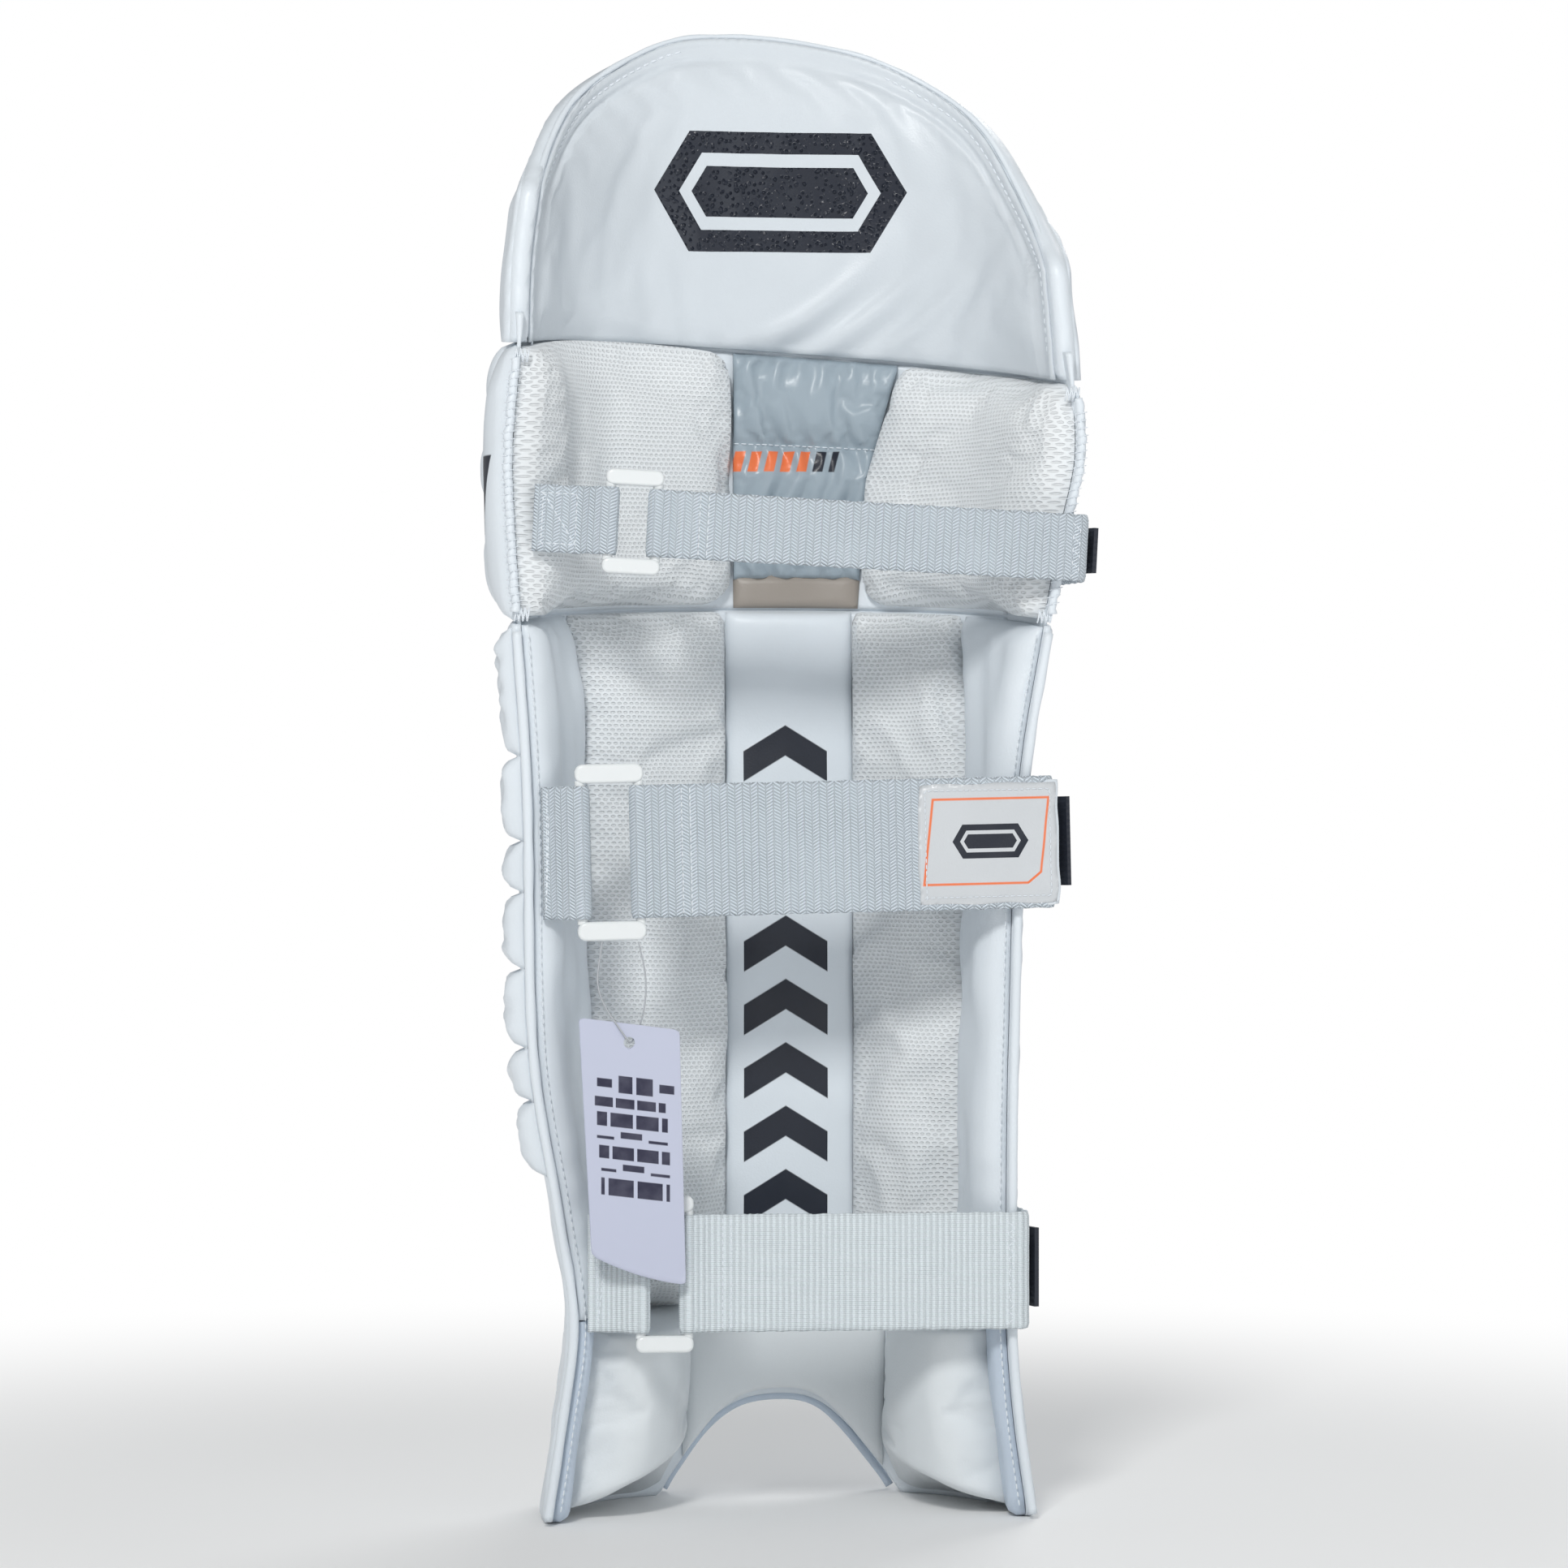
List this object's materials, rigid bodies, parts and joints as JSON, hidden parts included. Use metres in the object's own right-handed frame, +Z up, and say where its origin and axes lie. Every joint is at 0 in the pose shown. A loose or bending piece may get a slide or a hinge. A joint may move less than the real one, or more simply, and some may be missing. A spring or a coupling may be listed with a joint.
{
  "type": "cricket leg pad",
  "caption": "Padded batting leg guard: upright shin rolls, knee rolls and arched top, hollow at the back, closed by ringed hook-and-loop straps, with a hang tag.",
  "frame": {"origin": "on the floor under the middle of the box that holds the pad, as it stands on its two feet", "axes": "+Z up the shin, +X to the right seen from the leg side, +Y the way the strike face points"},
  "size_m": [0.2912, 0.169, 0.7189],
  "materials": {
    "pu_white": "smooth embossed polyurethane",
    "pu_grey": "smooth blue-grey polyurethane",
    "mesh_cream": "knitted mesh",
    "satin_quilt": "quilted coated cloth",
    "foam": "closed-cell foam",
    "cane": "peeled cane",
    "webbing": "woven webbing",
    "elastic": "ribbed elastic webbing",
    "ring_plastic": "moulded",
    "tab_plastic": "moulded",
    "hook_loop": "hook and loop",
    "patch_leather": "stitched patch",
    "card": "printed card",
    "thread": "thread"
  },
  "bodies": {
    "shin": {"shin_roll_1": "pu_white", "shin_roll_2": "pu_white", "shin_roll_3": "pu_white", "shin_roll_4": "pu_white", "shin_roll_5": "pu_white", "shin_roll_6": "pu_white", "shin_roll_7": "pu_white", "cane_rods": "cane", "shin_core": "foam", "instep_cover": "pu_white", "left_wing": "pu_white", "right_wing": "pu_white", "left_wing_ribs": "pu_white", "left_side_bolster": "mesh_cream", "right_side_bolster": "mesh_cream", "centre_strip": "pu_white", "left_wing_lining": "pu_white", "right_wing_lining": "pu_white", "left_ankle_bolster": "pu_white", "right_ankle_bolster": "pu_white", "instep_panel": "pu_white", "shin_edge_piping": "pu_grey", "arch_piping": "pu_grey", "calf_tail": "webbing", "ankle_tail": "elastic", "shin_loop_patches": "hook_loop"},
    "knee": {"knee_core": "foam", "knee_left_wing": "pu_white", "knee_right_wing": "pu_white", "knee_roll_1": "pu_white", "knee_roll_2": "pu_white", "knee_roll_3": "pu_white", "left_knee_bolster": "mesh_cream", "right_knee_bolster": "mesh_cream", "knee_centre_panel": "satin_quilt", "left_knee_side_bolster": "mesh_cream", "right_knee_side_bolster": "mesh_cream", "knee_edge_piping": "pu_grey", "knee_tail": "webbing", "knee_loop_patch": "hook_loop", "knee_bar_tacks": "thread"},
    "top_hat": {"top_hat_core": "foam", "top_hat_front_cover": "pu_white", "top_hat_back_panel": "pu_white", "top_hat_piping": "pu_grey"},
    "knee_ring": {"knee_ring": "ring_plastic"},
    "knee_strap": {"knee_strap": "webbing", "knee_hook_patch": "hook_loop", "knee_pull_tab": "tab_plastic"},
    "calf_ring": {"calf_ring": "ring_plastic"},
    "calf_strap": {"calf_strap": "webbing", "calf_hook_patch": "hook_loop", "calf_pull_tab": "tab_plastic", "calf_strap_patch": "patch_leather"},
    "ankle_ring": {"ankle_ring": "ring_plastic"},
    "ankle_strap": {"ankle_strap": "elastic", "ankle_hook_patch": "hook_loop", "ankle_pull_tab": "tab_plastic"},
    "tag": {"tag_card": "card", "tag_string": "thread"}
  },
  "joints": [
    {"name": "knee_bend", "type": "hinge", "parent": "shin", "child": "knee", "pos_m": [0.00524, -0.06772, 0.424], "axis": [1, 0, 0], "range_deg": [0, 12]},
    {"name": "top_hat_bend", "type": "hinge", "parent": "knee", "child": "top_hat", "pos_m": [0.00524, -0.06772, 0.5452], "axis": [0.998, 0, -0.0629], "range_deg": [0, 15]},
    {"name": "knee_ring_swing", "type": "hinge", "parent": "knee", "child": "knee_ring", "pos_m": [-0.08784, -0.07572, 0.47158], "axis": [-0.0523, 0, -0.9986], "range_deg": [0, 60]},
    {"name": "knee_strap_swing", "type": "hinge", "parent": "knee_ring", "child": "knee_strap", "pos_m": [-0.06568, -0.07572, 0.47042], "axis": [-0.0523, 0, -0.9986], "range_deg": [0, 100]},
    {"name": "calf_ring_swing", "type": "hinge", "parent": "shin", "child": "calf_ring", "pos_m": [-0.10086, -0.07572, 0.31669], "axis": [0.0227, 0, -0.9997], "range_deg": [0, 60]},
    {"name": "calf_strap_swing", "type": "hinge", "parent": "calf_ring", "child": "calf_strap", "pos_m": [-0.07366, -0.07572, 0.31731], "axis": [0.0227, 0, -0.9997], "range_deg": [0, 100]},
    {"name": "ankle_ring_swing", "type": "hinge", "parent": "shin", "child": "ankle_ring", "pos_m": [-0.07286, -0.07372, 0.12], "axis": [0, 0, -1], "range_deg": [0, 15]},
    {"name": "ankle_strap_swing", "type": "hinge", "parent": "ankle_ring", "child": "ankle_strap", "pos_m": [-0.05066, -0.07372, 0.12], "axis": [0, 0, -1], "range_deg": [0, 70]},
    {"name": "tag_swing", "type": "hinge", "parent": "calf_ring", "child": "tag", "pos_m": [-0.08276, -0.07772, 0.2765], "axis": [-1, 0, 0], "range_deg": [0, 80]}
  ]
}
